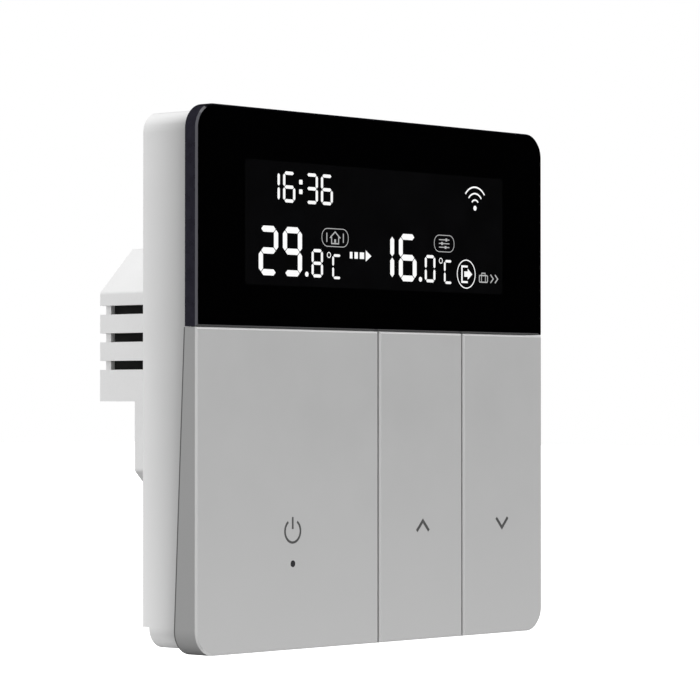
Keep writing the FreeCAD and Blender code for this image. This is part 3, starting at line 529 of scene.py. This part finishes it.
def add_digit(shapes, figure, left, low, width, height, stroke, gap=0.1):
    """A seven-segment figure in a cell, each bar a long hexagon."""
    half = stroke / 2
    middle = low + height / 2
    level = {"a": low + height - half, "g": middle, "d": low + half}
    upright = {"b": (left + width - half, middle), "c": (left + width - half, low),
               "f": (left + half, middle), "e": (left + half, low)}
    for bar in SEGMENTS[figure]:
        if bar in level:
            start, end, up = left + half + gap, left + width - half - gap, level[bar]
            shapes.polygon([(start, up), (start + half, up + half), (end - half, up + half),
                            (end, up), (end - half, up - half), (start + half, up - half)])
        else:
            across, foot = upright[bar]
            start = foot + gap + (half if foot == low else 0)
            end = foot + height / 2 - gap - (0 if foot == low else half)
            shapes.polygon([(across, start), (across + half, start + half), (across + half, end - half),
                            (across, end), (across - half, end - half), (across - half, start + half)])


BIG = {"width": 4.5, "height": 7.87, "stroke": 0.98}
SMALL = {"width": 2.72, "height": 4.57, "stroke": 0.5}
CLOCK = {"width": 2.87, "height": 4.95, "stroke": 0.53}
UNIT = {"width": 2.25, "height": 4.03, "stroke": 0.42}
READING_LOW = 16.54
CLOCK_LOW = 28.3


def make_clock(material):
    """The time of day at the upper left, 16:36."""
    shapes = Shapes()
    for figure, left in (("1", -26.93), ("6", -23.3), ("3", -17.92), ("6", -14.32)):
        add_digit(shapes, figure, left, CLOCK_LOW, **CLOCK)
    for low in (29.79, 31.33):
        shapes.polygon(rounded(-19.52, -18.73, low, low + 0.75, 0.15))
    shapes.piece("clock_figures", "front", material)


def make_reading(name, figures, unit_left, dot, degree, material):
    """A temperature: two large figures, a point, a small figure and the unit."""
    shapes = Shapes()
    for (figure, left), style in zip(figures, (BIG, BIG, SMALL)):
        add_digit(shapes, figure, left, READING_LOW, **style)
    add_digit(shapes, "C", unit_left, READING_LOW - 0.13, **UNIT)
    shapes.dot(dot, READING_LOW + 0.45, 0.41)
    shapes.circle(degree, 20.26, 0.48, 0.14)
    shapes.piece(name, "front", material)


def make_arrow(material):
    """Three bars and a head between the two temperatures."""
    shapes = Shapes()
    for left, right in ((-7.31, -6.68), (-6.18, -5.36), (-4.87, -3.81)):
        shapes.box(left, right, 19.88, 20.95)
    shapes.polygon([(-3.4, 19.5), (-2.0, 20.41), (-3.4, 21.32)])
    shapes.piece("arrow_symbol", "front", material)


def make_wireless(material):
    """Three arcs over a dot."""
    shapes = Shapes()
    across, up, width = 24.7, 29.85, 0.27
    for radius in (3.35, 2.26, 1.17):
        shapes.polygon(arc(across, up, radius, 38, 142) + arc(across, up, radius - width, 142, 38))
    shapes.dot(across, 29.5, 0.42)
    shapes.piece("wireless_symbol", "front", material)


def make_room_symbol(material):
    """A house in a pill, over the room's reading."""
    shapes = Shapes()
    shapes.pill(-14.15, -7.64, 21.6, 24.61, 1.4, 0.12)
    middle, line = -10.9, 0.2
    left, right = middle - 0.85, middle + 0.85
    shapes.stroke([(middle - 1.25, 23.05), (middle, 24.05), (middle + 1.25, 23.05)], line)
    shapes.stroke([(left, 23.2), (left, 22.15), (right, 22.15), (right, 23.2)], line)
    shapes.box(middle - 0.2, middle + 0.2, 22.3, 22.85)
    for side in (-1, 1):
        shapes.box(middle + side * 2.0 - 0.1, middle + side * 2.0 + 0.1, 22.35, 23.85)
    shapes.piece("room_symbol", "front", material)


def make_set_symbol(material):
    """Three sliders in a pill, over the wanted temperature."""
    shapes = Shapes()
    shapes.pill(13.91, 19.2, 21.72, 24.62, 1.35, 0.12)
    for up, knob in ((23.8, 17.1), (23.17, 16.0), (22.54, 16.9)):
        shapes.box(15.2, 17.9, up - 0.08, up + 0.08)
        shapes.box(knob - 0.22, knob + 0.22, up - 0.24, up + 0.24)
    shapes.piece("set_symbol", "front", material)


def make_away_symbols(material, soft_material):
    """A ringed way-out sign, then a suitcase and two chevrons."""
    shapes = Shapes()
    shapes.circle(22.36, 18.21, 2.46, 0.17)
    shapes.stroke([(22.75, 19.5), (21.22, 19.5), (21.22, 16.86), (22.75, 16.86)], 0.33)
    shapes.polygon([(21.85, 17.76), (22.75, 17.76), (22.75, 17.27), (23.94, 18.21), (22.75, 19.16),
                    (22.75, 18.67), (21.85, 18.67)])
    shapes.piece("away_symbol", "front", material)
    case = Shapes()
    case.pill(25.75, 28.15, 16.87, 18.2, 0.3, 0.2)
    case.stroke([(26.5, 18.2), (26.5, 18.5), (27.4, 18.5), (27.4, 18.2)], 0.17)
    case.box(26.35, 26.5, 16.95, 18.1)
    case.box(27.4, 27.55, 16.95, 18.1)
    for left in (28.85, 30.05):
        case.stroke([(left, 18.3), (left + 0.75, 17.6), (left, 16.9)], 0.22)
    case.piece("suitcase_symbol", "front", soft_material)


def make_display():
    """Everything that shows through the black window."""
    panel = Shapes()
    panel.polygon(rounded(-32.1, 32.1, 15.0, 34.8, 0.6))
    panel.piece("display_panel", "front", display_panel(), thick=PRINT / 2)
    bright = lit_segment("lit_segment", 255)
    soft = lit_segment("lit_fine_segment", 180)
    make_clock(bright)
    room_figures = (("2", -28.95), ("9", -23.34), ("8", -16.55))
    set_figures = (("1", -0.8), ("6", 4.9), ("0", 11.53))
    make_reading("room_reading", room_figures, -11.59, -17.7, -12.39, bright)
    make_reading("set_reading", set_figures, 16.5, 10.4, 15.68, bright)
    make_arrow(bright)
    make_wireless(bright)
    make_room_symbol(soft)
    make_set_symbol(soft)
    make_away_symbols(bright, soft)


# ---------------------------------------------------------------- key legends

def make_legends():
    """Printed marks: a standby sign on the mode key and a chevron on each of the others."""
    ink = printed_ink("legend_ink", 78)
    across, up = -21.0, -24.1
    outer, inner = 2.0, 1.62
    gap_left, gap_right = 125, 415
    mode = Shapes()
    mode.polygon(arc(across, up, outer, gap_left, gap_right, 40)
                 + arc(across, up, inner, gap_right, gap_left, 40))
    mode.box(across - 0.19, across + 0.19, up + 0.35, up + 2.25)
    mode.piece("mode_legend", "mode_key", ink)
    for key, middle, turn in (("up", 11.0, 1), ("down", 31.9, -1)):
        chevron = Shapes()
        foot, tip = up - turn * 0.85, up + turn * 0.85
        chevron.stroke([(middle - 1.55, foot), (middle, tip), (middle + 1.55, foot)], 0.52)
        chevron.piece(key + "_legend", key + "_key", ink)


# ---------------------------------------------------------------- details of the boards and the back

def beveled_blocks(spots, size, bevel):
    """Blocks of one size with softened edges, at their centres in millimetres."""
    mesh = bmesh.new()
    for spot in spots:
        made = bmesh.ops.create_cube(mesh, size=1)["verts"]
        for vertex in made:
            vertex.co = Vector(spot) + Vector(share * side for share, side in zip(vertex.co, size))
    bmesh.ops.bevel(mesh, geom=mesh.edges, offset=bevel, segments=1, affect="EDGES")
    bmesh.ops.scale(mesh, vec=(MM, MM, MM), verts=mesh.verts)
    return mesh


def domes(spots, radius, height, way):
    """Low domes that stand on a plane across Y, like solder joints."""
    mesh = bmesh.new()
    sides, steps = 14, 4
    for across, depth, up in spots:
        rings = []
        for step in range(steps):
            lift = math.radians(90 * step / steps)
            reach, out = radius * math.cos(lift), height * math.sin(lift)
            rings.append([mesh.verts.new((across + reach * math.cos(turn), depth + way * out,
                                          up + reach * math.sin(turn)))
                          for turn in (math.tau * side / sides for side in range(sides))])
        tip = mesh.verts.new((across, depth + way * height, up))
        mesh.faces.new(rings[0])
        for lower, upper in zip(rings, rings[1:]):
            for side in range(sides):
                after = (side + 1) % sides
                mesh.faces.new((lower[side], lower[after], upper[after], upper[side]))
        for side in range(sides):
            mesh.faces.new((rings[-1][side], rings[-1][(side + 1) % sides], tip))
    bmesh.ops.recalc_face_normals(mesh, faces=mesh.faces)
    bmesh.ops.scale(mesh, vec=(MM, MM, MM), verts=mesh.verts)
    return mesh


def row(left, up, pitch, count):
    """Evenly spaced spots along a level line."""
    return [(left + pitch * number, up) for number in range(count)]


def make_chip_parts(board_back):
    """Rows of chip resistors and capacitors with tinned ends, on the back of the control board."""
    resistors = row(-16, -9.5, 2.4, 9) + row(13, -11, 2.4, 5) + row(2, 30, 2.6, 6) + row(-30, 6, 2.4, 7)
    capacitors = row(-17, -27, 3, 6) + row(16, 4, 3, 5) + row(4, 23.5, 3, 5) + row(-30, -6, 3, 4)
    black = moulded("resistor_body", 36, 0.3, 0, 0.1, 0.003, 4)
    tan = moulded("ceramic_body", 168, 0.45, 0.22, 0.1, 0.004, 5)
    tin = metal("tinned_ends", (0.72, 0.72, 0.7, 1), 0.3, 0.15)
    proud = 0.04
    kinds = (("resistor", resistors, (0.85, 0.45, 1.2), black),
             ("capacitor", capacitors, (1.2, 0.8, 1.5), tan))
    for name, spots, (wide, high, tall), material in kinds:
        middles = [(across, board_back + high / 2, up) for across, up in spots]
        ends = [(across, depth, up + side * tall / 2) for across, depth, up in middles for side in (-1, 1)]
        bodies = beveled_blocks(middles, (wide, high - proud, tall), 0.05)
        add_piece(name + "_bodies", bodies, "front", material)
        add_piece(name + "_ends", beveled_blocks(ends, (wide + proud, high, 0.4), 0.06), "front", tin)


def make_solder(board_back):
    """Solder joints of the key switches on the back of the control board."""
    reach_across, reach_up = 2.3, 3.2
    spots = []
    for key in ("mode", "up", "down"):
        low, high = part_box(key + "_switch_body")
        middle = (low + high) / 2 / MM
        spots += [(middle.x + side * reach_across, board_back, middle.z + end * reach_up)
                  for side in (-1, 1) for end in (-1, 1)]
    add_piece("switch_solder", domes(spots, 0.75, 0.5, 1), "front",
              metal("solder", (0.74, 0.74, 0.74, 1), 0.22, 0.3))


def outline_of(shapes, node, margin=0.5, width=0.15):
    """A printed frame round a node, as it is seen from behind."""
    low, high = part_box(node)
    left, right = -high.x / MM - margin, -low.x / MM + margin
    bottom, top = low.z / MM - margin, high.z / MM + margin
    shapes.pill(left, right, bottom, top, 0.3, width)


def make_board_print(board_back):
    """White component outlines, numbers and test pads on the back of the control board."""
    shapes = Shapes()
    for node in ("header_base", "microcontroller", "wireless_board", "clock_crystal"):
        outline_of(shapes, node)
    pads = Shapes()
    for number, (across, up) in enumerate(row(-25.4, -31.4, 3.2, 6), start=1):
        pads.dot(across, up, 0.7)
        add_digit(shapes, str(number), across - 0.6, up - 3.2, 1.1, 1.9, 0.22, 0.04)
    gold = metal("gold_pads", (0.85, 0.62, 0.27, 1), 0.25, 0.2)
    shapes.piece("board_print", "front", printed_ink("white_ink", 226), board_back, way=1)
    pads.piece("test_pads", "front", gold, board_back, way=1)
    mark = Shapes().dot(3.9, -15.4, 0.4)
    chip_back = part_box("microcontroller")[1].y / MM
    mark.piece("chip_mark", "front", printed_ink("chip_dot", 120), chip_back, way=1)


def make_aerial():
    """The folded copper aerial at the free end of the wireless board."""
    low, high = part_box("wireless_board")
    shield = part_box("wireless_shield")[0]
    start, end = -shield.x / MM + 0.8, -low.x / MM - 0.7
    bottom, top = low.z / MM + 1.2, high.z / MM - 1.2
    folds, half = 5, 0.15
    pitch = (end - start) / folds
    path = [(start, bottom)]
    for fold in range(folds):
        across = start + pitch * fold
        level = bottom if fold % 2 else top
        path += [(across, level), (across + pitch, level)]
    aerial = Shapes()
    for first, second in zip(path, path[1:]):
        left, right = sorted((first[0], second[0]))
        lower, upper = sorted((first[1], second[1]))
        aerial.box(left - half, right + half, lower - half, upper + half)
    gold = metal("gold_aerial", (0.83, 0.58, 0.25, 1), 0.28, 0.2)
    aerial.piece("aerial", "front", gold, high.y / MM, way=1)


def make_rear_marks(ink):
    """Numbers over the terminal holes in the shallow part of the box's rear wall."""
    low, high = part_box("terminal_screws")
    rear_wall, gap = 1.2, 0.1
    shallow_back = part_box("terminal_block")[1].y / MM + gap + rear_wall
    head = high.z - low.z
    pitch = (high.x - low.x - head) / MM / (POLES - 1)
    shapes = Shapes()
    for number in range(POLES):
        middle = (number - (POLES - 1) / 2) * pitch
        add_digit(shapes, str(number + 1), middle - 0.65, high.z / MM + 0.6, 1.3, 2.4, 0.36, 0.02)
    shapes.piece("terminal_numbers", "base", ink, shallow_back, PRINT, 1)


def make_wiring_label(ink):
    """A pale label on the rear of the box: a wiring picture with numbered ends and plain symbols."""
    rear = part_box("rear_box")[1].y / MM
    paper = Shapes()
    paper.polygon(rounded(-15.5, 15.5, 0.5, 17.5, 1.2))
    paper.piece("wiring_label", "base", label_paper(), rear, LABEL, 1)
    shapes = Shapes()
    shapes.pill(-14.8, 14.8, 1.2, 16.8, 0.8, 0.18)
    pitch, line = 4.4, 0.2
    ends = [(number - (POLES - 1) / 2) * pitch for number in range(POLES)]
    ring_up, ring, bridge, lamp = 5.6, 0.8, 11.2, 1
    branch = (8.4, 10)
    for number, across in enumerate(ends):
        add_digit(shapes, str(number + 1), across - 0.6, 2.1, 1.2, 2.1, 0.26, 0.03)
        shapes.circle(across, ring_up, ring, line)
        shapes.box(across - line / 2, across + line / 2, ring_up + ring, branch[number % 2])
    for left, right in zip(ends[::2], ends[1::2]):
        middle = (left + right) / 2
        shapes.stroke([(left, branch[0]), (left, bridge), (middle - lamp, bridge)], line)
        shapes.stroke([(middle + lamp, bridge), (right, bridge), (right, branch[1])], line)
        shapes.circle(middle, bridge, lamp, line)
    shapes.pill(-13.4, -10.6, 13.1, 15.9, 0.1, 0.22)
    shapes.pill(-12.8, -11.2, 13.7, 15.3, 0.1, 0.2)
    wave = [(3.2 + step * 0.25, 14.5 + 0.7 * math.sin(step * math.pi / 6)) for step in range(13)]
    shapes.stroke(wave, 0.22)
    shapes.piece("wiring_print", "base", ink, rear + LABEL, PRINT, 1)


def make_plate_arrow(ink):
    """An arrow on the wall plate that points up when it is hung right."""
    sheet_thick = 1.0
    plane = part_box("mounting_plate")[1].y / MM - sheet_thick
    arrow = Shapes()
    arrow.polygon([(-1.1, 29.5), (1.1, 29.5), (1.1, 33), (2.6, 33), (0, 36.2), (-2.6, 33), (-1.1, 33)])
    arrow.piece("plate_arrow", "base", ink, plane)


def make_details():
    """Everything small that shows from behind or when the front comes off."""
    board_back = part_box("control_board")[1].y / MM
    make_chip_parts(board_back)
    make_solder(board_back)
    make_board_print(board_back)
    make_aerial()
    dark = printed_ink("dark_ink", 70)
    make_rear_marks(dark)
    make_wiring_label(dark)
    make_plate_arrow(dark)


# ---------------------------------------------------------------- camera, light and stage

FACE_CENTRE = Vector((0, FACE * MM, 0))


def make_camera():
    """A long lens to the left of the face, level with its lower half and tilted a degree up."""
    heading, level = math.radians(48.84), -0.00434
    tilt, aside = math.radians(90.993), math.radians(0.51)
    distance = 0.5423
    camera = bpy.data.objects.new("camera", bpy.data.cameras.new("camera"))
    scene.collection.objects.link(camera)
    camera.location = FACE_CENTRE - Vector((math.sin(heading), math.cos(heading), 0)) * distance
    camera.location.z = level
    camera.rotation_euler = (tilt, 0, aside - heading)
    camera.data.sensor_width = 36
    camera.data.lens = 169.7
    camera.data.clip_start = 0.01
    scene.camera = camera


def soft_light(name, azimuth, elevation, power, reflected=True):
    """A square softbox aimed at the object; azimuth 0 is straight ahead of the face, 90 its left."""
    distance, size = 1.8, 1.2
    turn, rise = math.radians(azimuth), math.radians(elevation)
    place = Vector((-math.sin(turn) * math.cos(rise), -math.cos(turn) * math.cos(rise), math.sin(rise)))
    data = bpy.data.lights.new(name, "AREA")
    data.size = size
    data.energy = power
    lamp = bpy.data.objects.new(name, data)
    scene.collection.objects.link(lamp)
    lamp.location = place * distance
    lamp.visible_glossy = reflected
    lamp.rotation_euler = place.to_track_quat("Z", "Y").to_euler()


def make_world(ambient, behind):
    """A white surround to look at, a dimmer light that fades below, and a glow behind to reflect."""
    world = bpy.data.worlds.new("surround")
    scene.world = world
    world.use_nodes = True
    tree = world.node_tree
    backdrop = tree.nodes["Background"]
    backdrop.inputs["Color"].default_value = (1, 1, 1, 1)
    dim = tree.nodes.new("ShaderNodeBackground")
    dim.inputs["Color"].default_value = (1, 1, 1, 1)
    path = tree.nodes.new("ShaderNodeLightPath")
    direction = tree.nodes.new("ShaderNodeSeparateXYZ")
    rear = tree.nodes.new("ShaderNodeMapRange")
    below = tree.nodes.new("ShaderNodeMapRange")
    level = tree.nodes.new("ShaderNodeMix")
    choose = tree.nodes.new("ShaderNodeMixShader")
    glow_from, glow_full = 0.7, 0.85
    darkest_share = 0.12
    rear.inputs["From Min"].default_value = glow_from
    rear.inputs["From Max"].default_value = glow_full
    rear.inputs["To Max"].default_value = behind
    below.inputs["From Min"].default_value = -0.9
    below.inputs["From Max"].default_value = 0
    below.inputs["To Min"].default_value = ambient * darkest_share
    below.inputs["To Max"].default_value = ambient
    links = (
        (tree.nodes.new("ShaderNodeTexCoord").outputs["Generated"], direction.inputs["Vector"]),
        (direction.outputs["Y"], rear.inputs["Value"]),
        (path.outputs["Is Diffuse Ray"], level.inputs["Factor"]),
        (direction.outputs["Z"], below.inputs["Value"]),
        (rear.outputs["Result"], level.inputs["A"]),
        (below.outputs["Result"], level.inputs["B"]),
        (level.outputs["Result"], dim.inputs["Strength"]),
        (path.outputs["Is Camera Ray"], choose.inputs["Fac"]),
        (dim.outputs["Background"], choose.inputs[1]),
        (backdrop.outputs["Background"], choose.inputs[2]),
        (choose.outputs["Shader"], tree.nodes["World Output"].inputs["Surface"]),
    )
    for source, target in links:
        tree.links.new(source, target)


def make_floor():
    """A plain white floor well below the wall-mounted part."""
    data = bpy.data.meshes.new("floor")
    reach, drop = 40.0, -0.6
    data.from_pydata([(-reach, -reach, drop), (reach, -reach, drop), (reach, reach, drop),
                      (-reach, reach, drop)], [], [(0, 1, 2, 3)])
    pale = Recipe("pale_floor", Emission_Strength=1.0, Emission_Color=(1, 1, 1, 1))
    pale.colour(pale.mix(pale.noise(900, 2), grey(236), grey(244)))
    data.materials.append(pale.material)
    floor = bpy.data.objects.new("floor", data)
    floor.visible_diffuse = False
    floor.visible_glossy = False
    scene.collection.objects.link(floor)


def make_stage():
    """Camera, softboxes, surround and floor."""
    scene.view_settings.view_transform = "Standard"
    make_camera()
    soft_light("left_softbox", 80, 4, 4.7, reflected=False)
    soft_light("front_softbox", 15, -12, 19.5)
    soft_light("top_softbox", 30, 75, 8.4)
    make_world(ambient=0.87, behind=0.9)
    make_floor()


finish_nodes(make_finishes())
make_display()
make_legends()
make_details()
make_stage()
